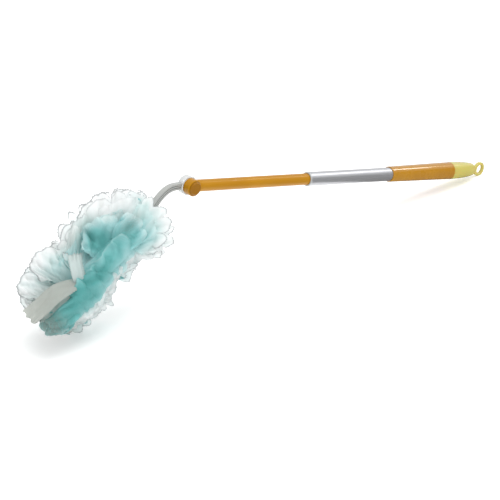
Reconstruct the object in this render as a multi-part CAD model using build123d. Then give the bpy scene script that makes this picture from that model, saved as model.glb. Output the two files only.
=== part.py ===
"""A telescopic dusting wand with a hinged fork and a fluffy slip-on duster head.

The wand leans on a level surface (Z = 0) like a low tent: the hang ring touches at one end and the
duster at the other. The pivot axis of the head lies along Y, and everything bends in the XZ plane.
Handle parts are drawn with X = distance from the pivot towards the ring, and head parts with
-X = distance from the pivot towards the tip. Both are then tilted about the pivot.
"""

from build123d import *
import math
import os

# Pose, in degrees.
HANDLE_SLOPE = 14.2  # how far the handle falls towards the ring
BEND = 44.0  # the head at its 45 degree detent, with a degree of play
HEAD_SLOPE = BEND - HANDLE_SLOPE

# Telescopic tubes, in millimetres from the pivot axis.
INNER_START, INNER_END, INNER_R, INNER_BORE = 15.0, 250.0, 8.1, 6.8
MIDDLE_START, MIDDLE_END, MIDDLE_R, MIDDLE_BORE = 221.0, 422.0, 9.9, 8.85
GRIP_START, GRIP_END, GRIP_BORE = 391.5, 529.5, 10.2
GRIP_FRONT_R, GRIP_REAR_R = 11.3, 13.0
CAP_CAVITY_END, CAP_CAVITY_R = 567.0, 10.35
SPIGOT_LENGTH, SPIGOT_R = 12.0, 11.5

# Hang ring on the end cap. Its hole runs along Y.
RING_AT, RING_R, RING_HOLE_R, RING_THICK, RING_HOLE_EDGE = 602.0, 11.0, 7.0, 5.0, 0.4

# Twist lock at the end of the inner and of the middle tube.
PLUG_DEPTH, SHOULDER, SPINDLE = 14.0, 2.0, 16.0
COLLET_GAP, COLLET_LENGTH, WASHER = 0.3, 14.0, 1.2
FIT = 0.1  # radial clearance of a running fit
LOOSE = 0.2  # radial clearance of a loose sliding fit

# Hinge of the head, in millimetres along Y. The near side is -Y.
DISC_R, DISC_NEAR, DISC_FAR = 11.0, -11.5, -0.3
RECESS_R, RECESS_FLOOR, WEB_FAR = 9.7, -4.5, -3.0
BUTTON_R, BUTTON_FACE, BUTTON_BACK, BUTTON_BEVEL = 9.45, -14.0, -8.0, 1.8
BOSS_R, BOSS_END = 3.5, 9.9
GEAR_TEETH, GEAR_ROOT, GEAR_TIP, GEAR_NEAR, GEAR_FAR = 8, 6.8, 7.9, -2.9, 2.6
HUB_R, HUB_NEAR, HUB_FAR, HUB_FLOOR, HUB_POCKET_R = 13.0, 0.3, 9.8, 8.0, 8.4
COVER_R, COVER_FAR = 9.0, 13.4
SPRING_R, SPRING_WIRE = 5.6, 0.35

# Fork, in millimetres from the pivot towards the tip, and above the head's own axis.
ARM_Y, ARM_WIDTH, ARM_DEPTH, ARM_ROOT_ANGLE, ARM_GROOVE = 4.0, 7.0, 8.6, 138.0, 1.5
ARM_CENTRE = [(-9.8, 8.8), (-15.0, 13.4), (-24.0, 19.0), (-36.0, 21.4), (-50.0, 20.1), (-64.0, 16.5), (-78.0, 14.7)]
TINE_Z, TINE_Y, TINE_WIDTH, TINE_THICK = 14.0, 13.0, 8.0, 3.0
YOKE_START, YOKE_END, YOKE_HALF, YOKE_THICK = 76.0, 85.0, 18.0, 5.0
TINE_END = 226.0

# Slip-on duster.
SLEEVE_START, SLEEVE_END, SLEEVE_HALF, SLEEVE_THICK = 87.0, 262.0, 23.0, 5.6
POCKET_DEPTH, POCKET_INNER, POCKET_OUTER, POCKET_THICK = 148.0, 1.2, 20.5, 4.0
FRINGE_THICK, TOW_THICK = 0.5, 1.2
SHEET_STEP = 2.0  # how much higher each layer is welded than the one under it
UNDER_ARM = 1.2  # how much further out the lower layers are, which pass under the arm
# Name, side of the sleeve, layer, angle of the wings from the sleeve's plane, reach, thickness.
SHEETS = [
    ("upper_fringe_inner", 1, 1, 8.0, 58.0, FRINGE_THICK),
    ("upper_tow", 1, 2, 28.0, 52.0, TOW_THICK),
    ("upper_fringe_middle", 1, 3, 46.0, 58.0, FRINGE_THICK),
    ("upper_fringe_outer", 1, 4, 68.0, 54.0, FRINGE_THICK),
    ("lower_fringe_inner", -1, 1, 12.0, 54.0, FRINGE_THICK),
    ("lower_tow", -1, 2, 30.0, 46.0, TOW_THICK),
    ("lower_fringe_middle", -1, 3, 47.0, 55.0, FRINGE_THICK),
    ("lower_fringe_outer", -1, 4, 68.0, 53.0, FRINGE_THICK),
]
# A wing's outline: distance from the pivot, and share of its reach.
TIP_END = [(150.0, 1.0), (200.0, 1.0), (240.0, 1.0), (262.0, 0.92), (272.0, 0.60)]
UPPER_WING = [(88.0, 0.50), (94.0, 0.86), (112.0, 1.0)] + TIP_END
LOWER_WING = [(54.0, 0.26), (43.0, 0.60), (50.0, 0.90), (78.0, 1.0)] + TIP_END

PIVOT_Z = (
    RING_AT * math.sin(math.radians(HANDLE_SLOPE))
    + RING_R
)  # the height that lets the ring just touch the surface


def along_x(radius, start, end):
    """A round bar about the X axis."""
    return Pos((start + end) / 2, 0, 0) * Rot(0, 90, 0) * Cylinder(radius, end - start)


def along_y(radius, start, end):
    """A round bar about the Y axis."""
    return Pos(0, (start + end) / 2, 0) * Rot(90, 0, 0) * Cylinder(radius, end - start)


def turned(points):
    """A solid turned about the X axis from its half section, as (distance, radius) corners."""
    return revolve(make_face(Polyline(*points, close=True)), Axis.X)


def tube(start, end, bore, outer, edge=0.3):
    """A tube about the X axis with its outer edges broken."""
    return turned([(start, bore), (start, outer - edge), (start + edge, outer),
                   (end - edge, outer), (end, outer - edge), (end, bore)])


def wedge(r_in, r_out, start, end, centre, spread):
    """A block of a ring about the Y axis: spread degrees wide, around the angle centre."""
    corners = [0.0, -0.5, 0.5]
    far = r_out * 1.6
    angles = [math.radians(centre + spread * c) for c in corners[1:]]
    sector = Polyline((0, 0), *[(far * math.cos(a), far * math.sin(a)) for a in angles], close=True)
    prism = extrude(Plane.XZ * make_face(sector), amount=end - start, dir=(0, 1, 0))
    ring = along_y(r_out, start, end) - along_y(r_in, start, end)
    return ring & (Pos(0, start, 0) * prism)


def toothed(root, tip, start, end):
    """A toothed disc about the Y axis."""
    points = []
    step = 360.0 / GEAR_TEETH
    for tooth in range(GEAR_TEETH):
        for radius, turn in ((root, -0.32), (tip, -0.18), (tip, 0.18), (root, 0.32)):
            angle = math.radians((tooth + turn) * step)
            points.append((radius * math.cos(angle), radius * math.sin(angle)))
    face = Plane.XZ * make_face(Polyline(*points, close=True))
    return Pos(0, start, 0) * extrude(face, amount=end - start, dir=(0, 1, 0))


def rims(shape, radius):
    """The circular edges of that radius."""
    circles = shape.edges().filter_by(GeomType.CIRCLE)
    return circles.filter_by(lambda edge: abs(edge.radius - radius) < 0.01)


# Handle


def grip_shell():
    return turned([
        (GRIP_START, GRIP_BORE), (GRIP_START, GRIP_FRONT_R - 0.5), (GRIP_START + 0.6, GRIP_FRONT_R),
        (GRIP_END, GRIP_REAR_R), (GRIP_END, SPIGOT_R + 0.05),
        (GRIP_END - SPIGOT_LENGTH - 0.5, SPIGOT_R + 0.05), (GRIP_END - SPIGOT_LENGTH - 0.5, GRIP_BORE),
    ])


def end_cap():
    """The tapered end cap: a spigot in the grip, a hollow barrel, a rounded nose and the hang ring."""
    lip_r = GRIP_REAR_R + 0.1
    nose = RING_AT - RING_R - 5.5
    profile = [(-49.0, lip_r - 0.35), (-36.0, 12.7), (-24.0, 12.1), (-14.0, 11.2), (-6.0, 10.1),
               (-1.5, 8.6), (0.4, 6.2)]
    outside = Spline(*[(nose + x, r) for x, r in profile])
    front = Polyline((GRIP_END - SPIGOT_LENGTH, CAP_CAVITY_R), (GRIP_END - SPIGOT_LENGTH, SPIGOT_R),
                     (GRIP_END, SPIGOT_R), (GRIP_END, lip_r), (nose - 49.5, lip_r),
                     (nose - 49.0, lip_r - 0.35))
    back = Polyline((nose + 0.4, 6.2), (nose + 1.0, 4.0), (nose + 1.0, 0.0), (CAP_CAVITY_END, 0.0),
                    (CAP_CAVITY_END, CAP_CAVITY_R), (GRIP_END - SPIGOT_LENGTH, CAP_CAVITY_R))
    barrel = revolve(make_face(front + outside + back), Axis.X)
    half = RING_THICK / 2
    ring = along_y(RING_R, -half, half) - along_y(RING_HOLE_R, -half, half)
    ring = fillet(rims(ring, RING_R), 1.5)
    ring = fillet(rims(ring, RING_HOLE_R), RING_HOLE_EDGE)
    ring = Pos(RING_AT, 0, 0) * ring
    neck_start = nose - 8.0
    neck_end = RING_AT - RING_HOLE_R - 1.6
    neck = Box(neck_end - neck_start, RING_THICK, 9.0)
    neck = fillet(neck.edges().filter_by(Axis.X), 1.4)
    return barrel + Pos((neck_start + neck_end) / 2, 0, 0) * neck + ring


def middle_tube():
    return tube(MIDDLE_START, MIDDLE_END, MIDDLE_BORE, MIDDLE_R)


def middle_mouth_bush():
    """The guide ring pressed into the middle tube's mouth, which the inner tube slides through."""
    bore = INNER_R + LOOSE
    return turned([(MIDDLE_START - 1.8, bore + 0.3), (MIDDLE_START - 1.8, MIDDLE_R - 0.5),
                   (MIDDLE_START - 1.4, MIDDLE_R - 0.1), (MIDDLE_START, MIDDLE_R - 0.1),
                   (MIDDLE_START, MIDDLE_BORE - 0.05), (MIDDLE_START + 12, MIDDLE_BORE - 0.05),
                   (MIDDLE_START + 12, bore), (MIDDLE_START - 1.5, bore)])


def inner_tube():
    return tube(INNER_START, INNER_END, INNER_BORE, INNER_R)


def lock_plug(end, bore, around):
    """The plug in a tube's end, with its shoulder and the spindle that carries the lock."""
    spindle_r = around * 0.3
    return turned([(end - PLUG_DEPTH, 0), (end - PLUG_DEPTH, bore - 0.05), (end, bore - 0.05),
                   (end, around - 0.4), (end + SHOULDER, around - 0.4), (end + SHOULDER, spindle_r),
                   (end + SHOULDER + SPINDLE, spindle_r), (end + SHOULDER + SPINDLE, 0)])


def lock_collet(end, around):
    """The split ring that swells against the bore around it: conical inside, with four slots."""
    start = end + SHOULDER + COLLET_GAP
    outer = around - FIT
    ring = turned([(start, around * 0.76), (start, outer - 0.3), (start + 0.3, outer),
                   (start + COLLET_LENGTH, outer), (start + COLLET_LENGTH, around * 0.60)])
    slot_length = COLLET_LENGTH * 0.7
    for turn in (0, 90):
        slot = Box(slot_length, 3 * around, 1.0)
        ring -= Rot(turn, 0, 0) * Pos(start + slot_length / 2 - 0.01, 0, 0) * slot
    return ring


def lock_cone(end, around):
    """The conical nut on the spindle, which runs along it as the tube is twisted."""
    start = end + SHOULDER + COLLET_GAP + 1.6
    length = COLLET_LENGTH - 4.0
    taper = around * (0.76 - 0.60) / COLLET_LENGTH
    first = around * 0.76 - taper * 1.6 - LOOSE
    return turned([(start, around * 0.3 + FIT), (start, first), (start + length, first - taper * length),
                   (start + length, around * 0.3 + FIT)])


def lock_washer(end, around):
    """The washer fixed on the spindle's end, which keeps the collet on."""
    finish = end + SHOULDER + SPINDLE
    start = finish - WASHER
    return tube(start, finish, around * 0.3 + 0.02, around * 0.68, edge=0.2)


# Hinge


def knuckle():
    """The hinge body on the inner tube: spigot, neck, cupped disc and the boss the fork turns on."""
    shoulder = INNER_START - 1.5
    neck = along_x(INNER_R, 0, shoulder) & (Pos(0, DISC_FAR - 20, 0) * Box(60, 40, 60))
    body = neck + along_x(INNER_R, shoulder, INNER_START)
    body += along_x(INNER_BORE - 0.05, INNER_START, INNER_START + 30)
    body -= along_x(4.5, INNER_START + 6, INNER_START + 30)
    disc = along_y(DISC_R, DISC_NEAR, DISC_FAR)
    near_edge = disc.edges().filter_by(GeomType.CIRCLE).sort_by(Axis.Y)[0]
    disc = chamfer(near_edge, 0.8)
    body += disc
    body -= along_y(RECESS_R, DISC_NEAR, RECESS_FLOOR)
    body -= toothed(GEAR_ROOT + LOOSE, GEAR_TIP + LOOSE, WEB_FAR, DISC_FAR)
    for leg in range(3):
        body -= wedge(4.8, 6.6, RECESS_FLOOR - 0.5, WEB_FAR + 0.5, 120.0 * leg, 62.0)
    body += along_y(BOSS_R, RECESS_FLOOR, BOSS_END)
    return body - along_y(1.3, 2.0, BOSS_END)


def pivot_button():
    """The push button in the disc, with three legs that reach through to the lock gear."""
    cap = along_y(BUTTON_R, BUTTON_FACE, BUTTON_BACK)
    cap = chamfer(cap.edges().filter_by(GeomType.CIRCLE).sort_by(Axis.Y)[0], BUTTON_BEVEL)
    cap -= along_y(6.9, BUTTON_FACE + 2.4, BUTTON_BACK)
    for leg in range(3):
        cap += wedge(5.0, 6.4, BUTTON_FACE + 2.4, GEAR_NEAR, 120.0 * leg, 50.0)
    return cap


def lock_gear():
    return toothed(GEAR_ROOT, GEAR_TIP, GEAR_NEAR, GEAR_FAR) - along_y(BOSS_R + LOOSE, GEAR_NEAR, GEAR_FAR)


def pivot_spring():
    """The button's return spring, drawn at its pressed length."""
    start = GEAR_FAR + 2.9
    height = HUB_FLOOR - start - 2 * SPRING_WIRE - 0.1
    path = Helix(pitch=height / 3, height=height, radius=SPRING_R)
    section = Plane(origin=path @ 0, z_dir=path % 0) * Circle(SPRING_WIRE)
    coil = sweep(section, path)
    return Pos(0, start + SPRING_WIRE, 0) * Rot(-90, 0, 0) * coil


def pivot_washer():
    return along_y(5.6, BOSS_END, BOSS_END + 0.7) - along_y(1.4, BOSS_END, BOSS_END + 0.7)


def pivot_screw():
    head = along_y(2.9, BOSS_END + 0.7, BOSS_END + 2.1)
    cross = Box(3.6, 0.9, 0.8) + Box(0.8, 0.9, 3.6)
    return head + along_y(1.25, 3.0, BOSS_END + 0.7) - Pos(0, BOSS_END + 2.0, 0) * cross


# Fork


def arm_root(distance):
    """A point on the line that the arm leaves the hub on."""
    angle = math.radians(ARM_ROOT_ANGLE)
    return distance * math.cos(angle), ARM_Y, distance * math.sin(angle)


def tenon(radius, start, end):
    x, y, z = arm_root((start + end) / 2)
    return Pos(x, y, z) * Rot(0, 90 - ARM_ROOT_ANGLE, 0) * Cylinder(radius, end - start)


def fork_hub():
    """The disc that turns beside the knuckle on its boss, with the stub that holds the arm."""
    hub = along_y(HUB_R, HUB_NEAR, HUB_FAR)
    hub = fillet(hub.edges().filter_by(GeomType.CIRCLE), 1.1)
    hub += tenon(2.4, HUB_R - 1.5, HUB_R + 5.0)
    hub -= along_y(HUB_POCKET_R, HUB_NEAR, HUB_FLOOR)
    return hub - along_y(BOSS_R + FIT, HUB_FLOOR, HUB_FAR)


def hub_cover():
    """The snap-on cover over the pivot screw."""
    cup = along_y(COVER_R, HUB_FAR, COVER_FAR)
    cup = fillet(cup.edges().filter_by(GeomType.CIRCLE).sort_by(Axis.Y)[-1], 1.6)
    return cup - along_y(COVER_R - 1.6, HUB_FAR, COVER_FAR - 1.0)


def offset_line(offset):
    """The arm's centre line moved sideways by offset."""
    line = []
    last = len(ARM_CENTRE) - 1
    for i, (x, z) in enumerate(ARM_CENTRE):
        x0, z0 = ARM_CENTRE[max(i - 1, 0)]
        x1, z1 = ARM_CENTRE[min(i + 1, last)]
        length = math.hypot(x1 - x0, z1 - z0)
        line.append((x + offset * (z1 - z0) / length, z - offset * (x1 - x0) / length))
    return line


def arm_band(low, high, start, end):
    """A band of the arm between two offsets from its centre line, from start to end along Y."""
    upper, lower = offset_line(high), offset_line(low)
    edge = Spline(*upper) + Line(upper[-1], lower[-1]) + Spline(*reversed(lower)) + Line(lower[0], upper[0])
    return Pos(0, start, 0) * extrude(Plane.XZ * make_face(edge), amount=end - start, dir=(0, 1, 0))


def tine(side):
    """One flat prong, with a rounded end and a small barb on its outer edge."""
    inner, outer = TINE_Y - TINE_WIDTH / 2, TINE_Y + TINE_WIDTH / 2
    barb = TINE_END - 22.0
    outline = (
        Polyline((-TINE_END + 4, inner), (-YOKE_START - 3, inner), (-YOKE_START - 3, outer),
                 (-barb + 8, outer), (-barb, outer + 1.3), (-barb - 2.5, outer), (-TINE_END + 4, outer))
        + ThreePointArc((-TINE_END + 4, outer), (-TINE_END, TINE_Y), (-TINE_END + 4, inner))
    )
    flat = extrude(make_face(outline), amount=TINE_THICK)
    if side < 0:
        flat = mirror(flat, Plane.XZ)
    return Pos(0, 0, TINE_Z - TINE_THICK / 2) * flat


def fork_arm():
    """The arched, ribbed arm that ends in a yoke with two prongs."""
    near, far = ARM_Y - ARM_WIDTH / 2, ARM_Y + ARM_WIDTH / 2
    half = ARM_DEPTH / 2
    arm = arm_band(-half + 0.3, half - 0.3, near + ARM_GROOVE, far - ARM_GROOVE)
    for low, high in ((-half, -1.9), (-0.8, 0.8), (1.9, half)):
        arm += arm_band(low, high, near, far)
    arm -= along_y(HUB_R + 0.15, near - 5, far + 5)
    arm -= tenon(2.45, HUB_R - 2.0, HUB_R + 5.5)
    yoke = Box(YOKE_END - YOKE_START, 2 * YOKE_HALF, YOKE_THICK)
    yoke = fillet(yoke.edges(), 1.6)
    yoke = Pos(-(YOKE_START + YOKE_END) / 2, 0, TINE_Z) * yoke
    return arm + yoke + tine(1) + tine(-1)


# Duster


def sleeve_block(start, end, inner, outer, low, high):
    """A block of the sleeve: along the head, across it, and above the fork's own axis."""
    block = Box(end - start, outer - inner, high - low)
    return Pos(-(start + end) / 2, (inner + outer) / 2, TINE_Z + (low + high) / 2) * block


def sleeve_parts():
    """Two nonwoven sheets, and the welds between them that leave a pocket for each prong."""
    skin, pocket = SLEEVE_THICK / 2, POCKET_THICK / 2
    pocket_end = SLEEVE_START + POCKET_DEPTH
    parts = {}
    for name, low, high in (("sleeve_upper", pocket, skin), ("sleeve_lower", -skin, -pocket)):
        sheet_block = sleeve_block(SLEEVE_START, SLEEVE_END, -SLEEVE_HALF, SLEEVE_HALF, low, high)
        parts[name] = fillet(sheet_block.edges().filter_by(Axis.Z), 4.0)
    for name, inner, outer in (("sleeve_weld_left", -SLEEVE_HALF, -POCKET_OUTER),
                               ("sleeve_weld_middle", -POCKET_INNER, POCKET_INNER),
                               ("sleeve_weld_right", POCKET_OUTER, SLEEVE_HALF)):
        parts[name] = sleeve_block(SLEEVE_START + 4, pocket_end, inner, outer, -pocket, pocket)
    parts["sleeve_weld_end"] = sleeve_block(pocket_end, SLEEVE_END - 4, -SLEEVE_HALF, SLEEVE_HALF, -pocket, pocket)
    return parts


def wing(shares, reach, thick, angle):
    """One side of a sheet: a thin panel that leaves the weld line at an angle."""
    outline = [(-s, share * reach) for s, share in shares]
    edge = Spline(*outline) + Polyline(outline[-1], (-SLEEVE_END, 0), (outline[0][0], 0), outline[0])
    panel = extrude(make_face(edge), amount=thick / 2, both=True)
    return Rot(angle, 0, 0) * panel


def sheet(side, layer, angle, reach, thick):
    """A layer of the duster: two wings that meet on the weld line, above or below the sleeve."""
    height = SLEEVE_THICK / 2 + SHEET_STEP * layer - 1.0
    shares = UPPER_WING if side > 0 else LOWER_WING
    pair = wing(shares, reach, thick, angle) + wing(shares, reach, thick, 180.0 - angle)
    pair = Pos(0, 0, height if side > 0 else height + UNDER_ARM) * pair
    if side < 0:
        pair = mirror(pair, Plane.XY)
    return Pos(0, 0, TINE_Z) * pair


def above_surface(shape):
    """The shape without what would lie under the surface that the wand rests on."""
    return shape & (Pos(0, 0, 300) * Box(1200, 600, 600))


def handle_parts():
    parts = {
        "grip_shell": grip_shell(),
        "end_cap": end_cap(),
        "middle_tube": middle_tube(),
        "middle_mouth_bush": middle_mouth_bush(),
        "inner_tube": inner_tube(),
        "knuckle": knuckle(),
        "pivot_button": pivot_button(),
        "lock_gear": lock_gear(),
        "pivot_washer": pivot_washer(),
        "pivot_screw": pivot_screw(),
    }
    for name, end, bore, around in (
        ("middle", MIDDLE_END, MIDDLE_BORE, GRIP_BORE),
        ("inner", INNER_END, INNER_BORE, MIDDLE_BORE),
    ):
        parts[name + "_lock_plug"] = lock_plug(end, bore, around)
        parts[name + "_lock_collet"] = lock_collet(end, around)
        parts[name + "_lock_cone"] = lock_cone(end, around)
        parts[name + "_lock_washer"] = lock_washer(end, around)
    return parts


def head_parts():
    parts = {
        "fork_hub": fork_hub(),
        "hub_cover": hub_cover(),
        "pivot_spring": pivot_spring(),
        "fork_arm": fork_arm(),
        **sleeve_parts(),
    }
    for name, side, layer, angle, reach, thick in SHEETS:
        parts[name] = sheet(side, layer, angle, reach, thick)
    return parts


def assembly():
    """Every part in place, with the whole centred over the origin and standing on Z = 0."""
    placed = {}
    for name, shape in handle_parts().items():
        placed[name] = Pos(0, 0, PIVOT_Z) * Rot(0, HANDLE_SLOPE, 0) * shape
    for name, shape in head_parts().items():
        placed[name] = Pos(0, 0, PIVOT_Z) * Rot(0, -HEAD_SLOPE, 0) * shape
        if name.startswith("lower_"):
            placed[name] = above_surface(placed[name])
    boxes = [shape.bounding_box() for shape in placed.values()]
    shift = -(min(b.min.X for b in boxes) + max(b.max.X for b in boxes)) / 2
    print("pivot x", round(shift, 4), "z", round(PIVOT_Z, 4))
    return {name: Pos(shift, 0, 0) * shape for name, shape in placed.items()}


os.makedirs("parts", exist_ok=True)
for name, shape in assembly().items():
    export_step(shape, f"parts/{name}.step")
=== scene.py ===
"""The looks of a telescopic dusting wand with a slip-on duster head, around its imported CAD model.

The wand's own parts are the CAD nodes with materials. The duster's layers are new pieces: slit and
ruffled nonwoven sheets, and a crimped fibre tow between them, all gathered on the sleeve's welds.
Lengths are in metres. The head frame has s from the pivot towards the tip, y across, and z above
the fork's own axis.
"""

import math

import bpy
import numpy as np
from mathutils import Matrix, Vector


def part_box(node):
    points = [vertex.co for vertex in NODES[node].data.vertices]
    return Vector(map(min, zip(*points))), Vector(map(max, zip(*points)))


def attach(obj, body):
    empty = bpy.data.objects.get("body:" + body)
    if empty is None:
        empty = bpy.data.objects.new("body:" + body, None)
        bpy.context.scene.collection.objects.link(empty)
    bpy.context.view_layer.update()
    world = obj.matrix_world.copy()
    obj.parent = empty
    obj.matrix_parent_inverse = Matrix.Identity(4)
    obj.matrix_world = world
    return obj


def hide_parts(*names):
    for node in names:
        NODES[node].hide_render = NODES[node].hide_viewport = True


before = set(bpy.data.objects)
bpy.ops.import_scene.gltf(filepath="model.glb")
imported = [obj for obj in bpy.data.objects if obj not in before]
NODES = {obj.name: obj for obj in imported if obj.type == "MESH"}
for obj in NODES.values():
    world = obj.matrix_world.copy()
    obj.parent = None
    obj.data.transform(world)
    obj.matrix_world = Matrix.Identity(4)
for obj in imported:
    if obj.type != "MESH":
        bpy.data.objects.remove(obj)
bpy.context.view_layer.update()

# The head frame.
HEAD_SLOPE = math.radians(29.8)  # how far the head points below level
low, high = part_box("pivot_washer")
PIVOT = np.array([(low.x + high.x) / 2, 0.0, (low.z + high.z) / 2])
AXIS_Z = 0.014  # height of the sleeve's middle plane
SLEEVE_START, SLEEVE_END = 0.087, 0.262
FLOOR_GAP, LANDING = 0.0004, 0.004  # the duster's clearance over the floor, and how softly it meets it


def head(points):
    """Points (s, y, z) of the head frame as points of the frame that all the pieces share."""
    p = np.asarray(points, float)
    c, s = math.cos(HEAD_SLOPE), math.sin(HEAD_SLOPE)
    out = np.empty_like(p)
    out[..., 0] = PIVOT[0] - p[..., 0] * c - p[..., 2] * s
    out[..., 1] = PIVOT[1] + p[..., 1]
    out[..., 2] = PIVOT[2] - p[..., 0] * s + p[..., 2] * c
    return out


def rgb(text):
    """An sRGB colour, as six hex digits, in linear RGBA."""
    v = [int(text[i:i + 2], 16) / 255 for i in (0, 2, 4)]
    return tuple(c / 12.92 if c <= 0.04045 else ((c + 0.055) / 1.055) ** 2.4 for c in v) + (1.0,)


# Materials


class Nodes:
    """A new node material with its Principled shader, and short calls to add nodes."""

    def __init__(self, name):
        self.material = bpy.data.materials.new(name)
        self.material.use_nodes = True
        self.tree = self.material.node_tree
        self.tree.nodes.clear()
        self.out = self.tree.nodes.new("ShaderNodeOutputMaterial")
        self.shader = self.tree.nodes.new("ShaderNodeBsdfPrincipled")
        self.link(self.shader.outputs["BSDF"], self.out.inputs["Surface"])

    def add(self, kind, **inputs):
        """A new node, with constants on its inputs."""
        node = self.tree.nodes.new(kind)
        for key, value in inputs.items():
            node.inputs[key].default_value = value
        return node

    def link(self, a, b):
        self.tree.links.new(a, b)

    def set(self, **values):
        """Constants on the shader's own sockets, with _ for a space."""
        for key, value in values.items():
            self.shader.inputs[key.replace("_", " ")].default_value = value

    def noise(self, scale, detail=3.0, stretch=None, rough=0.5):
        """A noise of the object's own coordinates, scale in features a metre.

        stretch is the way it is drawn out, as (rotation, factors).
        """
        coords = self.add("ShaderNodeTexCoord")
        noise = self.add("ShaderNodeTexNoise", Scale=scale, Detail=detail, Roughness=rough)
        source = coords.outputs["Object"]
        if stretch:
            mapping = self.add("ShaderNodeMapping")
            mapping.vector_type = "TEXTURE"
            mapping.inputs["Rotation"].default_value = stretch[0]
            mapping.inputs["Scale"].default_value = stretch[1]
            self.link(source, mapping.inputs["Vector"])
            source = mapping.outputs["Vector"]
        self.link(source, noise.inputs["Vector"])
        return noise.outputs["Fac"]

    def ramp(self, source, stops):
        """A colour ramp, stops as (position, colour)."""
        ramp = self.add("ShaderNodeValToRGB")
        while len(ramp.color_ramp.elements) < len(stops):
            ramp.color_ramp.elements.new(0.5)
        for element, (at, colour) in zip(ramp.color_ramp.elements, stops):
            element.position = at
            element.color = colour
        self.link(source, ramp.inputs["Fac"])
        return ramp.outputs["Color"]

    def spread(self, source, low, high):
        """The source's 0.3 to 0.7 mapped to low to high."""
        node = self.add("ShaderNodeMapRange")
        for key, value in (("From Min", 0.3), ("From Max", 0.7), ("To Min", low), ("To Max", high)):
            node.inputs[key].default_value = value
        self.link(source, node.inputs["Value"])
        return node.outputs["Result"]

    def bump(self, source, height, strength):
        """Relief of a height in metres."""
        node = self.add("ShaderNodeBump", Strength=strength, Distance=height)
        self.link(source, node.inputs["Height"])
        self.link(node.outputs["Normal"], self.shader.inputs["Normal"])

    def attribute(self, name):
        """What the mesh says at each vertex."""
        node = self.add("ShaderNodeAttribute")
        node.attribute_name = name
        return node.outputs["Fac"]

    def mix(self, factor, a, b):
        """Mixes two colours. Factor, a and b are sockets or constants."""
        node = self.tree.nodes.new("ShaderNodeMix")
        node.data_type = "RGBA"
        for socket, value in ((node.inputs[0], factor), (node.inputs[6], a), (node.inputs[7], b)):
            if isinstance(value, bpy.types.NodeSocket):
                self.link(value, socket)
            else:
                socket.default_value = value
        return node.outputs[2]


def moulded(name, dark, mid, light, rough, coat=0.0, **more):
    """Moulded plastic: faint flow marks in the colour, a fine skin and uneven gloss."""
    m = Nodes(name)
    flow = m.ramp(m.noise(14.0, detail=2.0), [(0.3, rgb(dark)), (0.5, rgb(mid)), (0.72, rgb(light))])
    m.link(flow, m.shader.inputs["Base Color"])
    m.link(m.spread(m.noise(60.0, detail=2.0), rough[0], rough[1]), m.shader.inputs["Roughness"])
    m.bump(m.noise(1500.0, detail=1.0), 0.00002, 0.12)
    m.set(Coat_Weight=coat, Coat_Roughness=0.06, **more)
    return m.material


def brushed(name, dark, light, rough, tilt):
    """Metal brushed along the tube, which leans by tilt."""
    m = Nodes(name)
    lines = m.noise(900.0, detail=3.0, stretch=((0.0, tilt, 0.0), (60.0, 1.0, 1.0)))
    m.link(m.ramp(lines, [(0.3, rgb(dark)), (0.7, rgb(light))]), m.shader.inputs["Base Color"])
    m.link(m.spread(lines, rough[0], rough[1]), m.shader.inputs["Roughness"])
    m.bump(lines, 0.000006, 0.25)
    m.set(Metallic=0.9, Specular_IOR_Level=0.5)
    return m.material


def fibrous(name, scale, tints, dark, painted_shade, edge, relief, glow, rough, specular, sheen):
    """Cloth of fine fibres that lets light through, coloured by the mesh's tint, painted shade and edge.

    dark is (share, colour) of its darker fibres, painted_shade the gray of its painted shade, relief
    (height, strength), and sheen (weight, roughness).
    """
    m = Nodes(name)
    grain = m.noise(scale, detail=5.0, rough=0.7)
    stops = [(i / (len(tints) - 1), rgb(tint)) for i, tint in enumerate(tints)]
    base = m.ramp(m.attribute("tint"), stops)
    base = m.mix(m.spread(grain, 0.0, dark[0]), base, rgb(dark[1]))
    # Painted shade: the shade attribute mixes in the painted_shade gray.
    base = m.mix(m.attribute("shade"), base, rgb(painted_shade))
    # The edge colour: on the white sheets a darker outline, partly a denser cut edge and partly painted
    # shade; on the tow a paler one.
    base = m.mix(m.attribute("edge"), base, rgb(edge))
    m.link(base, m.shader.inputs["Base Color"])
    m.bump(grain, *relief)
    m.set(Roughness=rough, Specular_IOR_Level=specular, Sheen_Weight=sheen[0], Sheen_Roughness=sheen[1])
    through_light = m.add("ShaderNodeBsdfTranslucent")
    m.link(base, through_light.inputs["Color"])
    both = m.add("ShaderNodeMixShader", Fac=glow)
    m.link(m.shader.outputs["BSDF"], both.inputs[1])
    m.link(through_light.outputs["BSDF"], both.inputs[2])
    m.link(both.outputs["Shader"], m.out.inputs["Surface"])
    return m.material


WAND_SLOPE = math.radians(14.2)  # the brushing of the tube follows the wand's lean

AMBER = dict(Specular_IOR_Level=0.3, Specular_Tint=(1.0, 0.82, 0.4, 1.0))
GRIP = moulded("orange_gloss", "a87308", "ad780b", "b27e10", (0.24, 0.32), coat=0.8, **AMBER)
ORANGE = moulded("orange_plastic", "a87206", "ad7709", "b37d0e", (0.34, 0.42), coat=0.1, **AMBER)
# The knob's orange is darker than the tubes' orange: painted shade, for its face that is turned from the
# light.
KNOB_IN_SHADE = moulded("orange_knob_in_shade", "895802", "905e04", "976508", (0.30, 0.40), coat=0.2, **AMBER)
CAP = moulded("cap_plastic", "bfb356", "c5b95e", "ccc06a", (0.16, 0.22), coat=0.8,
              Subsurface_Weight=0.2, Subsurface_Scale=0.004)
GRAY = moulded("gray_plastic", "9a9c99", "a5a7a4", "b0b2af", (0.30, 0.42), coat=0.1)
CLEAR = moulded("clear_plastic", "e6e8e7", "eff1f0", "f5f6f6", (0.14, 0.22), coat=0.4,
                Transmission_Weight=0.35, IOR=1.49)
WHITE = moulded("white_plastic", "e4e5e3", "eeefed", "f5f5f4", (0.30, 0.42))
SILVER = brushed("silver_tube", "c3c4c7", "cacbce", (0.38, 0.44), WAND_SLOPE)
STEEL = brushed("steel", "a8abae", "c3c6c9", (0.22, 0.34), 0.0)
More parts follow.
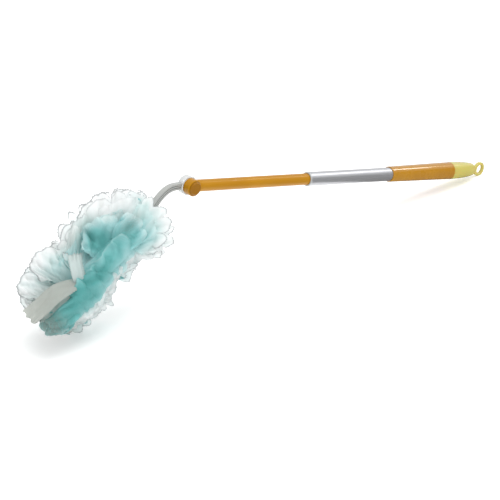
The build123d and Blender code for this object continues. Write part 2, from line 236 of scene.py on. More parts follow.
# painted_shade is the gray that the painted shade mixes into each cloth.
NONWOVEN = fibrous(
    "white_nonwoven", 1400.0, ["fcfdfd", "e2f3f2", "bbe0e0", "8ecacb", "66b4b3"],
    dark=(0.10, "c9d3d6"), painted_shade="b9b7ae", edge="5a5f63", relief=(0.00012, 0.5), glow=0.5,
    rough=0.82, specular=0.2, sheen=(0.25, 0.5))
TOW = fibrous(
    "teal_tow", 1100.0, ["f0f9f8", "d2ecec", "a9d9da", "83c6c5", "62b4b1"],
    dark=(0.16, "4d9c9c"), painted_shade="7d908b", edge="cfe6e6", relief=(0.0002, 0.6), glow=0.3,
    rough=0.7, specular=0.25, sheen=(0.3, 0.45))

for material, names in {
    GRIP: ["grip_shell"],
    ORANGE: ["knuckle", "inner_tube"],
    KNOB_IN_SHADE: ["pivot_button"],
    CAP: ["end_cap"],
    GRAY: ["fork_arm", "middle_mouth_bush", "middle_lock_plug", "inner_lock_plug"],
    CLEAR: ["fork_hub", "hub_cover"],
    WHITE: ["middle_lock_collet", "middle_lock_cone", "inner_lock_collet", "inner_lock_cone", "lock_gear"],
    SILVER: ["middle_tube"],
    STEEL: ["pivot_spring", "pivot_washer", "pivot_screw", "middle_lock_washer", "inner_lock_washer"],
}.items():
    for name in names:
        mesh = NODES[name].data
        mesh.materials.clear()
        mesh.materials.append(material)


# The duster's own frame, in millimetres: a along it, b towards the side it is combed to, and h out of
# its open face. The sleeve lies along h = 0 at b = SLEEVE_B. The face leans towards the tip.

MM = 0.001
SLEEVE_B = 10
FACE_BASE = 0.0105  # how far h = 0 stands from the head frame's origin
FACE_TURN, FACE_LEAN = math.radians(44.2), math.radians(17.3)
OUT = np.array([0.0, -math.sin(FACE_TURN), math.cos(FACE_TURN)])
E_A = np.array([math.cos(FACE_LEAN), 0.0, 0.0]) - math.sin(FACE_LEAN) * OUT
E_B = np.array([0.0, math.cos(FACE_TURN), math.sin(FACE_TURN)])
E_C = np.array([math.sin(FACE_LEAN), 0.0, 0.0]) + math.cos(FACE_LEAN) * OUT


def face(knots):
    """Knots (a, b, h) of the duster's frame as points of the head frame."""
    k = np.asarray(knots, float) * MM
    c = FACE_BASE + math.tan(FACE_LEAN) * k[..., 0] + k[..., 2]
    return k[..., :1] * E_A + k[..., 1:2] * E_B + c[..., None] * E_C


# Where the dye shows, as soft patches (a, b, half length, half width, strength), and where shade is painted
# on as a gray.
DYE = ((184, 6, 80, 19, 1.0), (129, 37, 19, 24, 0.95), (98, 17, 20, 20, 0.62), (176, 46, 40, 18, 0.34),
       (86, -8, 22, 14, 0.42), (208, -7, 50, 17, 0.85), (62, 18, 16, 16, 0.25))
PAINTED_SHADE_PATCHES = ((86, 19, 16, 7, 0.5), (248, 2, 20, 20, 0.95), (225, 36, 26, 12, 0.35), (140, 58, 26, 10, 0.25))


def patches(points, table):
    """How much of the patches reaches each point of the head frame."""
    a, b = points @ E_A / MM, points @ E_B / MM
    left = np.ones(a.shape)
    for at, aside, long, wide, strength in table:
        far = ((a - at) / long) ** 2 + ((b - aside) / wide) ** 2
        left = left * (1 - strength * np.exp(-0.8 * far ** 1.4))
    return 1 - left


class Cloth:
    """Gathers strips into one mesh, with what the material needs to know at each vertex."""

    def __init__(self):
        self.points, self.faces, self.data, self.count = [], [], [], 0

    def grid(self, points, tint, shade, edge):
        """Adds a grid of points (rows, columns, 3) in the head frame."""
        rows, columns = points.shape[:2]
        index = self.count + np.arange(rows * columns).reshape(rows, columns)
        corners = (index[:-1, :-1], index[:-1, 1:], index[1:, 1:], index[1:, :-1])
        self.faces.append(np.stack([c.ravel() for c in corners], axis=1))
        self.points.append(points.reshape(-1, 3))
        values = [np.broadcast_to(v, (rows, columns)).ravel() for v in (tint, shade, edge)]
        self.data.append(np.stack(values, axis=1))
        self.count += rows * columns

    def object(self, name, material):
        """The mesh object, in the shared frame and above the surface that the duster lies on."""
        points = head(np.concatenate(self.points))
        points[:, 2] = on_surface(points[:, 2])
        faces = np.concatenate(self.faces)
        mesh = bpy.data.meshes.new(name)
        mesh.vertices.add(len(points))
        mesh.vertices.foreach_set("co", points.astype(np.float32).ravel())
        mesh.loops.add(faces.size)
        mesh.loops.foreach_set("vertex_index", faces.astype(np.int32).ravel())
        mesh.polygons.add(len(faces))
        mesh.polygons.foreach_set("loop_start", np.arange(0, faces.size, 4, dtype=np.int32))
        mesh.update(calc_edges=True)
        mesh.validate()
        mesh.shade_smooth()
        values = np.concatenate(self.data)
        for column, key in enumerate(("tint", "shade", "edge")):
            attribute = mesh.attributes.new(key, "FLOAT", "POINT")
            attribute.data.foreach_set("value", values[:, column].astype(np.float32))
        mesh.materials.append(material)
        obj = bpy.data.objects.new(name, mesh)
        bpy.context.scene.collection.objects.link(obj)
        return obj


def on_surface(z):
    """Heights with a soft landing on the surface."""
    t = (z - FLOOR_GAP) / LANDING
    return FLOOR_GAP + LANDING * np.where(t > 8, t, np.log1p(np.exp(np.minimum(t, 8))))


def smooth(a, b, x):
    """From 0 at a to 1 at b, with soft ends."""
    t = np.clip((x - a) / (b - a), 0, 1)
    return t * t * (3 - 2 * t)


def through(knots, count):
    """A smooth line through the knots, as count evenly spaced points, and its length."""
    k = np.asarray(knots, float)
    k = np.vstack([2 * k[0] - k[1], k, 2 * k[-1] - k[-2]])
    t = np.linspace(0, 1, 24, endpoint=False)[:, None]
    runs = [
        0.5 * (2 * b + (c - a) * t + (2 * a - 5 * b + 4 * c - d) * t ** 2 + (3 * b - a - 3 * c + d) * t ** 3)
        for a, b, c, d in zip(k[:-3], k[1:-2], k[2:-1], k[3:])
    ]
    line = np.vstack(runs + [k[-2:-1]])
    along = np.concatenate([[0.0], np.cumsum(np.linalg.norm(np.diff(line, axis=0), axis=1))])
    even = np.linspace(0, along[-1], count)
    return np.stack([np.interp(even, along, line[:, i]) for i in range(3)], axis=1), along[-1]


def carried(way, side):
    """A side direction carried along the line without turning about it."""
    out = np.empty_like(way)
    for i, w in enumerate(way):
        side = side - w * (side @ w)
        side = side / np.linalg.norm(side)
        out[i] = side
    return out


def lobed(rng, count, columns):
    """For each column, its place within its lobe (-1 to 1), and the lobe's own number."""
    cuts = np.concatenate([[0.0], np.cumsum(rng.uniform(0.5, 1.5, count))])
    u = np.linspace(0, 1, columns) * cuts[-1]
    which = np.clip(np.searchsorted(cuts, u, side="right") - 1, 0, count - 1)
    return 2 * (u - cuts[which]) / (cuts[which + 1] - cuts[which]) - 1, which


def crumple(rng, x, y, size):
    """Crisp shallow creases of a size over x and y, all in millimetres, about -0.5 to 0.5 high."""
    total, count = 0.0, 5
    for _ in range(count):
        turn = rng.uniform(-0.9, 0.9)
        wave = size * rng.uniform(0.6, 1.7)
        p, q = rng.uniform(0, 6.3), rng.uniform(0, 6.3)
        far = x * math.cos(turn) + y * math.sin(turn) + 0.25 * wave * np.sin(y / wave * 1.7 + q)
        total = total + (np.abs(np.sin(math.pi * far / wave + p)) - 0.64) * wave / size
    return total / count * 1.6


PITCH = 0.0016  # the mesh's step over the cloth


def lobe_reach(rng, x, lobes, notch, round_lobe, uneven):
    """How far each column reaches towards the edge, 1 for all the way, its place in its lobe, and which."""
    place, which = lobed(rng, lobes, len(x))
    skew = rng.uniform(-0.35, 0.35, lobes)[which]
    place = place + skew * (1 - place ** 2)
    shape = (1 - np.abs(place) ** round_lobe) ** (1 / round_lobe)
    deep = notch * rng.uniform(0.6, 1.25, lobes)[which]
    own_length = rng.uniform(1 - 2 * uneven, 1 + 0.6 * uneven, lobes)[which]
    own_length = own_length + (0.99 - own_length) * np.abs(place) ** 4
    waver = np.sin(x / 2.1 + 2 * np.sin(x / 9.0)) + np.sin(x / 3.7 + 1.0)
    return own_length * (1 - deep * (1 - shape)) * (1 + 0.3 * uneven * waver), place, which


def ruffle(cloth, rng, held, edge, bulge, lobes, notch, depth, puff=3.0, folds=2.0, dye=1.0, fade=0.3,
           painted_shade=1.0, rim=0.5, pinked=0.6, crinkle=1.2, round_lobe=2.6, own=0.0, uneven=0.05,
           crease_size=13.0, crease_shading=0.4):
    """A sheet gathered where it is held and free along its edge, two lines of knots in the duster's frame.

    It bulges out of the face, by one amount or from one to another along it. Its folds rise by depth
    towards the free edge, which ends in lobes: notch is how deep they are cut, as a share, round_lobe
    how square, uneven how unequal and puff how cupped. crinkle and crease_size are the height and size
    of its creases, and crease_shading how much painted shade grays and deepens the dye in their
    valleys and painted light pales their ridges. dye and own colour it, painted_shade scales its painted
    shade patches, fade pales its edge, rim outlines it in the edge colour, partly painted shade on the
    white sheets, and pinked is the height of its teeth. Lengths are in millimetres. Returns its points
    and their tint.
    """
    _, long = through(face(edge), 200)
    columns = max(8, int(long / PITCH)) + 1
    free, _ = through(face(edge), columns)
    bound, _ = through(face(held), columns)
    span = free - bound
    spans = np.linalg.norm(span, axis=1)
    rows = max(6, int(spans.max() * 1.1 / PITCH)) + 1
    along = np.gradient(free * 0.6 + bound * 0.4, axis=0)
    normal = np.cross(along, span)
    normal /= np.linalg.norm(normal, axis=1)[:, None]
    normal *= np.where(normal @ (E_C - 0.2 * E_B) < 0, -1.0, 1.0)[:, None]
    along /= np.linalg.norm(along, axis=1)[:, None]
    x = np.linspace(0, long / MM, columns)
    reach, place, which = lobe_reach(rng, x, lobes, notch, round_lobe, uneven)
    v = np.linspace(0, 1, rows)[:, None]
    u = np.linspace(0, 1, columns)[None, :]
    phase = rng.uniform(0, 2 * math.pi, 6)
    cup = rng.uniform(0.5, 1.2, lobes) * np.where(rng.random(lobes) < 0.6, 1, -1)
    first, last = bulge if isinstance(bulge, tuple) else (bulge, bulge)
    lift = (first + (last - first) * smooth(0.15, 0.6, u)) * np.sin(math.pi * v) ** 0.8
    lift = lift + puff * (cup[which] * (1 - place ** 2))[None, :] * smooth(0.35, 1.0, v)
    wave = 2 * math.pi * folds * u
    wavy = np.sin(wave + phase[0] + 0.8 * v) + 0.5 * np.sin(2.3 * wave + phase[1] - 1.2 * v)
    lift = lift + depth * v ** 1.3 * wavy
    down = v * spans.mean() / MM * 0.6
    crease = crumple(rng, x[None, :] * (0.5 + 0.5 * v), down, crease_size) * smooth(0.0, 0.6, v)
    lift = lift + crinkle * 2 * crease
    sway = 1.5 * smooth(0.2, 1.0, v) * np.sin(1.6 * wave + phase[4] + 2 * v)
    points = bound[None] + span[None] * (v * reach[None, :])[..., None]
    points = points + normal[None] * (lift * MM)[..., None] + along[None] * (sway * MM)[..., None]
    teeth = np.where(np.arange(columns) % 2, 1.0, -1.0) * pinked * MM
    points[-1] += span / spans[:, None] * teeth[:, None]
    # The free edge's outline: partly a denser cut edge, partly painted shade on the white sheets.
    outline = np.zeros((rows, columns))
    outline[-1] = rim
    outline[-2] = 0.5 * rim
    tint = patches(points, DYE) * dye * (1 - fade * smooth(0.62, 1.0, v)) + own
    mottle = 0.05 * np.sin(7 * v + phase[5]) * np.cos(2 * math.pi * 3.1 * u + phase[0])
    # Painted shade and light: the creases' valleys take more dye and their ridges less.
    tint = tint * (1 - crease_shading * crease) + mottle
    tint = np.clip(tint, 0, 1)
    # Painted shade: the gray patches and the valleys of the creases are darkened in the colour.
    shade = patches(points, PAINTED_SHADE_PATCHES) * painted_shade + 0.6 * crease_shading * np.clip(-crease, 0, 1)
    cloth.grid(points, tint, np.clip(shade, 0, 1), outline)
    return points, tint


def ribbon(cloth, rng, knots, width, side, twist, cup, wave, tint, shade, end, ragged, waves=1.6, rim=0.3,
           pinked=0.5, taper=0.8):
    """A strip along a line of knots in the duster's frame, its width towards side.

    It is twisted by degrees from end to end, cupped across, rippled by wave in so many waves, narrowed
    to taper at its start and rounded off past end, where ragged is how uneven it is. In millimetres.
    """
    knots = face(knots)
    _, length = through(knots, 60)
    rows, columns = int(length / PITCH) + 2, max(6, int(width * MM / PITCH)) + 1
    line, _ = through(knots, rows)
    way = np.gradient(line, axis=0)
    way /= np.linalg.norm(way, axis=1)[:, None]
    across = carried(way, side[0] * E_A + side[1] * E_B + side[2] * E_C)
    normal = np.cross(way, across)
    t, w = np.linspace(0, 1, rows)[:, None], np.linspace(-1, 1, columns)[None, :]
    spin = math.radians(twist) * (t - 0.5) * 2
    across, normal = (across * np.cos(spin) + normal * np.sin(spin),
                      normal * np.cos(spin) - across * np.sin(spin))
    rounded = np.sqrt(1 - np.clip((t - end) / (1.02 - end), 0, 1) ** 3)
    half = width / 2 * (taper + (1 - taper) * smooth(0.0, 0.4, t)) * rounded
    phase = rng.uniform(0, 2 * math.pi, 4)
    ripple = 0.5 * np.sin(t * length / 0.0055 + phase[1]) * w ** 2
    ripple = np.sin(waves * math.pi * w + phase[0] + 2 * t) + ripple
    lift = cup * half * (w ** 2 - 0.33) + wave * smooth(0.0, 0.3, t) * ripple
    lift = lift + 1.6 * wave * crumple(rng, half * w, t * length / MM, size=8.0)
    lift = lift + ragged * smooth(0.7, 1.0, t) * np.sin(3.2 * math.pi * w + phase[2])
    torn = np.sin(2.3 * math.pi * w + phase[3]) + 0.6 * np.sin(5.1 * math.pi * w + phase[0])
    stretch = ragged * smooth(0.8, 1.0, t) * torn
    points = line[:, None] + across[:, None] * (half * w * MM)[..., None]
    points = points + normal[:, None] * (lift * MM)[..., None] + way[:, None] * (stretch * MM)[..., None]
    # The strip's outline along its sides and end: partly a denser cut edge, partly painted shade.
    outline = np.zeros((rows, columns))
    outline[:, 0] = outline[:, -1] = outline[-1] = rim
    teeth = pinked * MM * np.where(np.arange(rows) % 2, 1.0, -1.0)[:, None]
    points[:, 0] -= across * teeth
    points[:, -1] += across * teeth
    cloth.grid(points, tint, shade, outline)


def finish_sheet(cloth, name, material, node):
    """Makes the piece that stands for a node, and hides the node."""
    obj = cloth.object(name, material)
    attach(obj, "refill")
    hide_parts(node)


def finish_fringe(cloth, node):
    finish_sheet(cloth, node + "_cloth", NONWOVEN, node)


# Sleeve


SLEEVE_HALF = 0.023
WELD_HALF, POCKET = 0.0012, 0.0193  # the middle weld, and each pocket beside it
POCKET_END = (0.226, 0.240)  # where the pockets close


def sleeve_skin(side):
    """One of the sleeve's two sheets: puffed over the prongs and flat along the welds."""
    rows, columns = 72, 34
    s = np.linspace(SLEEVE_START, SLEEVE_END, rows)[:, None]
    y = np.linspace(-SLEEVE_HALF, SLEEVE_HALF, columns)[None, :]
    pocket = np.clip((np.abs(y) - WELD_HALF) / POCKET, 0, 1)
    puff = np.sin(math.pi * pocket) ** 0.55 * (1 - smooth(*POCKET_END, s))
    crease = 0.00025 * np.sin(s / 0.0021) * np.cos(y / 0.004) * (1 - puff)
    height = side * (0.0003 + 0.0024 * puff + crease)
    points = np.stack(np.broadcast_arrays(s, y, AXIS_Z + height), axis=-1)
    cloth = Cloth()
    cloth.grid(points, 0.25, 0.0, 0.0)
    name = "sleeve_upper" if side > 0 else "sleeve_lower"
    obj = cloth.object(name + "_cloth", NONWOVEN)
    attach(obj, "refill")
    if side > 0:
        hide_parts(name, "sleeve_weld_left", "sleeve_weld_middle", "sleeve_weld_right",
                    "sleeve_weld_end")
    else:
        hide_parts(name)


sleeve_skin(1)
sleeve_skin(-1)


# The layers of the duster. Each list of knots is (a, b, h).

ROOT_START, ROOT_END = 82, 246
UPPER_EDGE = [(42, 32, 4), (50, 54, 2), (66, 70, 0), (88, 82, 0), (116, 88, 0), (146, 88, 0), (165, 80, 0),
              (188, 82, 0), (214, 79, 0), (236, 76, 0), (250, 66, 2), (255, 46, 4), (252, 24, 6)]
LOWER_EDGE = [(50, -20, 6), (64, -33, 4), (82, -40, 4), (100, -34, 2), (117, -21, 4), (140, -17, 6),
              (165, -25, 6), (192, -31, 6), (218, -25, 4), (238, -16, 4), (250, -6, 6)]
EDGE_MIDDLE = 158  # the a that edges draw in towards
DRAW_IN = 0.0022  # by this share for each millimetre that they come in
FAN_REACH = ((54, 24), (72, 36), (104, 43), (150, 46), (196, 50), (230, 50), (250, 32))  # (a, reach)


def root(b, h, start=ROOT_START, end=ROOT_END):
    """A straight line of gathering along the sleeve."""
    return [(start, b, h), ((start + end) / 2, b, h), (end, b, h)]


def moved(edge, inward, h):
    """An edge brought in towards the sleeve and set at another height."""
    return [(a + (EDGE_MIDDLE - a) * inward * DRAW_IN, b - math.copysign(inward, b - SLEEVE_B), h)
            for a, b, _ in edge]


def fan(angle, wide):
    """A free edge all along the sleeve, at one angle around it, in degrees.

    180 is the near side, and 270 straight away from the face. wide scales how far it reaches.
    """
    turn = math.radians(angle)
    return [(a, SLEEVE_B + wide * reach * math.cos(turn), wide * reach * math.sin(turn))
            for a, reach in FAN_REACH]


def upper_layers():
    """The white layers combed to the far side, and the lobes, strip and flap that lie over them."""
    inner, middle, outer = Cloth(), Cloth(), Cloth()
    rng = np.random.default_rng(12)
    ruffle(inner, rng, root(10, -4), moved(UPPER_EDGE, 0, -14), lobes=13, notch=0.26, dye=0.6, bulge=4,
           rim=0.95, uneven=0.03, depth=5, folds=4)
    ruffle(inner, rng, root(11, 0), moved(UPPER_EDGE, 3, -3), lobes=10, notch=0.26, dye=0.8, bulge=5,
           rim=0.8, uneven=0.035, depth=5, folds=5)
    ruffle(middle, rng, root(12, 4), moved(UPPER_EDGE, 9, 6), lobes=8, notch=0.2, dye=0.9, bulge=4,
           rim=0.4, depth=6, crinkle=1.8, puff=4)
    ruffle(middle, rng, root(13, 5), moved(UPPER_EDGE[1:9], 17, 12), lobes=6, notch=0.14, dye=1.0, bulge=2,
           rim=0.1, depth=6, puff=6, crinkle=2.0)
    rolled_lobes(middle, rng)
    near_lobes(inner, outer, rng)
    crisp_ruffle(outer, rng)
    shaded_flap(outer, rng)
    finish_fringe(inner, "upper_fringe_inner")
    finish_fringe(middle, "upper_fringe_middle")
    finish_fringe(outer, "upper_fringe_outer")


def rolled_lobes(cloth, rng):
    """Three broad lobes beside the tip, each over the next, with edges that roll back."""
    # Painted shade grays these lobes, in their creases and under the shade patches.
    look = dict(lobes=1, notch=0.10, puff=4.0, folds=1.2, depth=2.5, crinkle=2.6, fade=0.7, round_lobe=2.2,
                rim=0.7, painted_shade=0.5, uneven=0.04, crease_size=8.5, crease_shading=0.6)
    ruffle(cloth, rng, [(174, 24, 10), (188, 24, 12), (202, 24, 10)],
           [(168, 50, 24), (176, 76, 18), (194, 82, 22), (210, 77, 22), (214, 56, 24)], bulge=7, **look)
    ruffle(cloth, rng, [(202, 24, 8), (214, 24, 10), (226, 24, 8)],
           [(208, 60, 16), (218, 76, 12), (238, 74, 14), (247, 60, 16), (239, 38, 20)],
           bulge=6, own=0.05, **look)
    ruffle(cloth, rng, [(222, 24, 6), (232, 24, 6), (240, 22, 6)],
           [(232, 50, 10), (243, 62, 8), (254, 54, 8), (256, 42, 10), (247, 28, 12)],
           bulge=5, own=0.05, **look)


def near_lobes(inner, outer, rng):
    """The lobes where the duster starts, over and beside the arm."""
    ruffle(inner, rng, [(88, 6, 2), (100, 8, 4), (110, 8, 4)],
           [(46, -14, 6), (53, -32, 4), (70, -42, 4), (90, -44, 2), (112, -28, 4)],
           lobes=3, notch=0.36, dye=0.9, fade=1.0, bulge=5, rim=0.7, depth=2, round_lobe=1.6)
    ruffle(inner, rng, [(86, 12, 8), (92, 10, 10), (102, 8, 10)],
           [(42, 36, 16), (39, 14, 20), (42, -10, 18), (58, -26, 14), (82, -34, 12), (104, -28, 12)],
           lobes=5, notch=0.26, dye=1.0, fade=0.9, bulge=6, rim=0.6, depth=2, round_lobe=1.7)
    ruffle(outer, rng, [(94, 16, 12), (102, 10, 14), (112, 4, 14)],
           [(60, 32, 22), (58, 12, 28), (66, -6, 30), (82, -20, 28), (106, -20, 24)],
           lobes=3, notch=0.08, fade=0.25, bulge=7, rim=0.05, depth=1.5, own=0.08, puff=2)


def crisp_ruffle(cloth, rng):
    """A stiff white strip that stands out of the tow, with a wavy end, over a shorter one. Both are grayed a
    little by painted shade.
    """
    look = dict(wave=0.7, waves=1.5)
    ribbon(cloth, rng, [(186, 12, 30), (180, 19, 38), (172, 30, 42), (162, 44, 43)], 15, side=(1, 0.35, 0),
           twist=12, cup=-0.25, tint=0.16, shade=0.22, end=0.97, ragged=1.6, **look)
    ribbon(cloth, rng, [(178, 12, 26), (174, 22, 36), (166, 34, 38), (158, 42, 38)], 13, side=(1, 0.5, 0),
           twist=-14, cup=0.2, tint=0.25, shade=0.35, end=0.92, ragged=1.2, **look)


def shaded_flap(cloth, rng):
    """A strip that lies along the tow to the tip, with a notched end, over a narrower one. Their gray is
    painted shade.
    """
    look = dict(side=(0.2, 1, 0), wave=0.8, ragged=1.4, taper=0.7, rim=0.1)
    ribbon(cloth, rng, [(184, 16, 34), (192, 20, 41), (210, 26, 43), (232, 28, 40), (256, 30, 33)], 25,
           twist=4, cup=-0.12, waves=1.1, tint=0.2, shade=0.75, end=0.97, **look)
    ribbon(cloth, rng, [(190, 16, 34), (212, 20, 38), (236, 22, 34), (250, 24, 28)], 20,
           twist=-6, cup=-0.3, tint=0.4, shade=0.5, end=0.9, **look)


def lower_layers():
    """The white layers on the near side, and those fanned round the side away from the face."""
    rng = np.random.default_rng(21)
    near, back, far = Cloth(), Cloth(), Cloth()
    look = dict(notch=0.22, fade=0.9, depth=3)
    ruffle(near, rng, root(8, 0), moved(LOWER_EDGE[2:], 0, -4), lobes=12, dye=0.3, bulge=3, rim=0.3, **look)
    ruffle(near, rng, root(8, 3), moved(LOWER_EDGE[2:], 2, 6), lobes=11, dye=0.5, bulge=6, rim=0.15, **look)
    ruffle(near, rng, root(7, 6), moved(LOWER_EDGE[4:], 6, 14), lobes=9, dye=0.7, bulge=8, rim=0.08, **look)
    look = dict(notch=0.2, fade=0.8, depth=7, folds=5, puff=6, crinkle=2.0, uneven=0.07, dye=0.5, own=0.06)
    for angle, wide in ((204, 0.78), (246, 1.66), (322, 1.12)):
        ruffle(back, rng, root(10, -5), fan(angle, wide), lobes=11, bulge=-4, **look)
    for angle, wide in ((266, 1.25), (288, 1.12), (344, 1.2)):
        ruffle(far, rng, root(10, -6), fan(angle, wide), lobes=10, bulge=4, **look)
    finish_fringe(near, "lower_fringe_inner")
    finish_fringe(back, "lower_fringe_middle")
    finish_fringe(far, "lower_fringe_outer")


# The fibre tow between them.


FIBRE_ROWS = (6 / 1.7, 14 / 1.7)  # how many of the mesh's steps a fibre runs
FIBRE_RISE, FIBRE_HALF = 2.0 * MM, 0.14 * MM  # how far its end may rise, and half its width


def fibres(rng, sheets, share, name):
    """Loose fibres combed along the tow's webs, a little proud of them, share of them at each mesh point."""
    cloth = Cloth()
    t = np.linspace(0, 1, 6)[None, :]
    for points, tint in sheets:
        rows, columns = points.shape[:2]
        normal = np.cross(np.gradient(points, axis=1), np.gradient(points, axis=0))
        normal /= np.linalg.norm(normal, axis=-1)[..., None]
        if (normal @ E_C).mean() < 0:
            normal = -normal
        count = int(share * rows * columns)
        run = rng.uniform(*FIBRE_ROWS, (count, 1))
        r = np.clip(rng.uniform(0.05, 0.9, (count, 1)) * rows + run * t, 0, rows - 1.001)
        c = rng.uniform(1, columns - 2, (count, 1)) + rng.normal(0, 3.0, (count, 1)) * t ** 1.5
        c = np.clip(c, 0, columns - 1.001)
        i, j, f, g = r.astype(int), c.astype(int), r % 1, c % 1

        def at(grid):
            """The grid's values between its points."""
            f1, g1 = (f, g) if grid.ndim == 2 else (f[..., None], g[..., None])
            near = grid[i, j] * (1 - f1) + grid[i + 1, j] * f1
            far = grid[i, j + 1] * (1 - f1) + grid[i + 1, j + 1] * f1
            return near * (1 - g1) + far * g1

        lift = 0.3 * MM + FIBRE_RISE * rng.uniform(0.1, 1, (count, 1)) * t ** 1.6
        lift = lift + 0.3 * MM * np.sin(t * rng.uniform(6, 14, (count, 1)) + rng.uniform(0, 6, (count, 1)))
        middle = at(points) + at(normal) * lift[..., None]
        way = np.gradient(middle, axis=1)
        side = np.cross(way, at(normal))
        side /= np.linalg.norm(side, axis=-1)[..., None] + 1e-12
        half = FIBRE_HALF * (1 - 0.6 * t)[..., None]
        colour = np.clip(at(tint) + rng.normal(0, 0.10, (count, 1)), 0, 1)
        for k in range(count):
            sides = [middle[k] - side[k] * half[0], middle[k] + side[k] * half[0]]
            cloth.grid(np.stack(sides, axis=1), colour[k][:, None], 0.0, 0.0)
    obj = cloth.object(name, TOW)
    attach(obj, "refill")
    return obj


def finish_tow(cloth, rng, sheets, share, node):
    """The web's piece, with loose fibres on it."""
    fuzz = fibres(rng, sheets, share, node + "_fibres")
    finish_sheet(cloth, node + "_web", TOW, node)


def upper_tow():
    """The tow in the duster's open face."""
    cloth = Cloth()
    rng = np.random.default_rng(31)
    look = dict(rim=0.25, pinked=0.2, fade=0.12, crinkle=2.4, uneven=0.06, crease_size=17.0, crease_shading=0.25)
    soft = dict(look, rim=0.0, fade=0.5)
    sheets = [
        # the valley beside the combed side
        ruffle(cloth, rng, root(20, 12, 92, 244),
               [(80, 44, 14), (100, 56, 18), (128, 62, 20), (160, 58, 18), (200, 54, 16), (244, 42, 10)],
               lobes=5, notch=0.16, bulge=-2, depth=3, **look),
        ruffle(cloth, rng, [(98, 22, 18), (124, 20, 16), (150, 22, 18)],
               [(92, 40, 24), (110, 58, 22), (134, 58, 22), (154, 44, 24)],
               lobes=4, notch=0.12, bulge=2, depth=4, **soft),
        # the long ridge over the sleeve
        ruffle(cloth, rng, [(92, 28, 8), (150, 28, 10), (200, 25, 12), (250, 20, 8)],
               [(88, -10, 18), (120, -14, 16), (150, -15, 16), (190, -20, 14), (230, -17, 12), (254, -9, 10)],
               lobes=6, notch=0.12, bulge=(15, 27), puff=5, depth=4, folds=2.5, **look),
        # folds that open towards the valley
        ruffle(cloth, rng, [(98, -6, 24), (130, -6, 28), (160, -4, 28)],
               [(94, 20, 32), (114, 25, 36), (138, 20, 38), (156, 24, 34)],
               lobes=2, notch=0.14, bulge=9, depth=3, **look),
        ruffle(cloth, rng, [(150, -8, 24), (180, -10, 26), (206, -8, 22)],
               [(152, 16, 40), (176, 21, 36), (196, 16, 36), (214, 18, 30)],
               lobes=2, notch=0.12, bulge=8, depth=3, **look),
        # the end of the ridge
        ruffle(cloth, rng, [(200, 18, 24), (210, 6, 32), (206, -8, 24)],
               [(252, 20, 18), (261, 9, 20), (256, -5, 16), (240, -15, 12)],
               lobes=3, notch=0.12, bulge=9, depth=2, **look),
        # a lock near the start
        ruffle(cloth, rng, [(116, 26, 20), (120, 12, 28), (120, 0, 24)],
               [(76, 36, 18), (70, 20, 24), (76, 4, 26), (88, -8, 24)],
               lobes=3, notch=0.14, bulge=8, depth=3, **soft),
    ]
    finish_tow(cloth, rng, sheets, 0.14, "upper_tow")


def lower_tow():
    """The tow between the layers that are fanned round the side away from the face."""
    cloth = Cloth()
    rng = np.random.default_rng(41)
    look = dict(rim=0.3, pinked=0.2, fade=0.2, crinkle=2.2, notch=0.16, lobes=7, own=0.42, depth=9, folds=6,
                puff=6, uneven=0.08, crease_size=15.0, crease_shading=0.25)
    turns = ((222, 0.76, 4), (250, 1.06, -4), (274, 1.0, 4), (304, 0.98, -5), (333, 1.1, 4), (350, 1.0, 2),
             (358, 1.0, -2))
    sheets = [ruffle(cloth, rng, root(10, -5, 74), fan(angle, wide), bulge=bulge, **look)
              for angle, wide, bulge in turns]
    finish_tow(cloth, rng, sheets, 0.05, "lower_tow")


upper_layers()
lower_layers()
upper_tow()
lower_tow()


# Stage


def area_light(name, place, target, size, power):
    """A soft box at a place, aimed at a target."""
    light = bpy.data.lights.new(name, "AREA")
    light.shape = "RECTANGLE"
    light.size, light.size_y = size
    light.energy = power
    obj = bpy.data.objects.new(name, light)
    obj.location = place
    obj.rotation_mode = "QUATERNION"
    obj.rotation_quaternion = (Vector(target) - Vector(place)).to_track_quat("-Z", "Y")
    bpy.context.scene.collection.objects.link(obj)


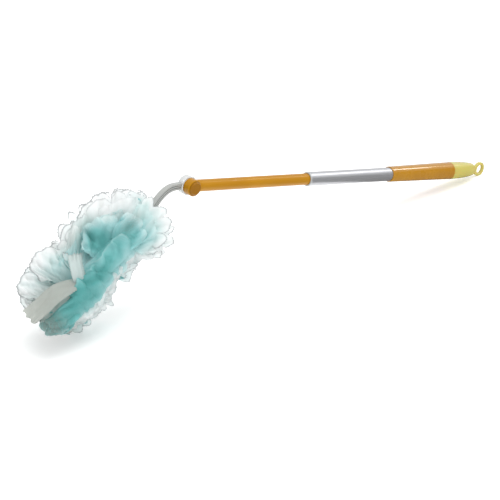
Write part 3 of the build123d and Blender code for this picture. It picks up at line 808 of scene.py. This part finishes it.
def studio():
    """A plain pale floor under a bright, soft sky, two soft boxes and a card for the reflections."""
    floor = bpy.data.meshes.new("floor")
    half = 12.0
    corners = [(-half, -half, 0), (half, -half, 0), (half, half, 0), (-half, half, 0)]
    floor.from_pydata(corners, [], [(0, 1, 2, 3)])
    m = Nodes("floor")
    m.link(m.ramp(m.noise(3.0), [(0.3, rgb("f6f6f6")), (0.7, rgb("fafafa"))]), m.shader.inputs["Base Color"])
    m.set(Roughness=0.9, Specular_IOR_Level=0.1, Emission_Color=(1, 1, 1, 1), Emission_Strength=0.22)
    floor.materials.append(m.material)
    obj = bpy.data.objects.new("floor", floor)
    bpy.context.scene.collection.objects.link(obj)
    world = bpy.data.worlds.new("studio")
    world.use_nodes = True
    world.node_tree.nodes["Background"].inputs["Color"].default_value = (1, 1, 1, 1)
    world.node_tree.nodes["Background"].inputs["Strength"].default_value = 0.85
    bpy.context.scene.world = world
    area_light("key", (-0.1, -0.5, 2.4), (0, 0, 0.1), (2.4, 1.6), 34)
    area_light("strip", (2.3, -0.20, 1.38), (0.2, 0, 0.08), (0.30, 0.55), 7)
    dark_card()


def dark_card():
    """A gray card beside the wand and under its near side, which only reflections see."""
    way, side = Vector((0.68, -0.73, 0)), Vector((0.73, 0.68, 0))
    start = Vector((0.15, 0, 0)) + way * 0.03
    run = [(0.0, 0.002), (0.8, 0.002), (0.8, 0.28)]
    corners = [start + way * w + side * x + Vector((0, 0, z)) for w, z in run for x in (-1.2, 1.2)]
    mesh = bpy.data.meshes.new("dark_card")
    mesh.from_pydata([tuple(c) for c in corners], [], [(0, 1, 3, 2), (2, 3, 5, 4)])
    m = Nodes("dark_card")
    m.link(m.ramp(m.noise(2.0), [(0.3, rgb("7c7c7c")), (0.7, rgb("868686"))]), m.shader.inputs["Base Color"])
    m.set(Roughness=0.9)
    mesh.materials.append(m.material)
    obj = bpy.data.objects.new("dark_card", mesh)
    bpy.context.scene.collection.objects.link(obj)
    obj.visible_camera = False
    obj.visible_shadow = False
    obj.visible_diffuse = False
    obj.visible_transmission = False


def camera():
    """Looks down at the object from its near side and from the duster's end."""
    turn, rise, distance = math.radians(-42.0), math.radians(26.5), 2.388
    back = Vector((math.sin(turn) * math.cos(rise), -math.cos(turn) * math.cos(rise), math.sin(rise)))
    target = Vector((PIVOT[0] + 0.1067, 0.0, PIVOT[2] - 0.1293))
    data = bpy.data.cameras.new("camera")
    data.lens = 124.5
    data.sensor_width = 36.0
    obj = bpy.data.objects.new("camera", data)
    obj.rotation_mode = "QUATERNION"
    obj.location = target + back * distance
    obj.rotation_quaternion = (-back).to_track_quat("-Z", "Y")
    bpy.context.scene.collection.objects.link(obj)
    bpy.context.scene.camera = obj


studio()
camera()
bpy.context.scene.view_settings.view_transform = "Standard"
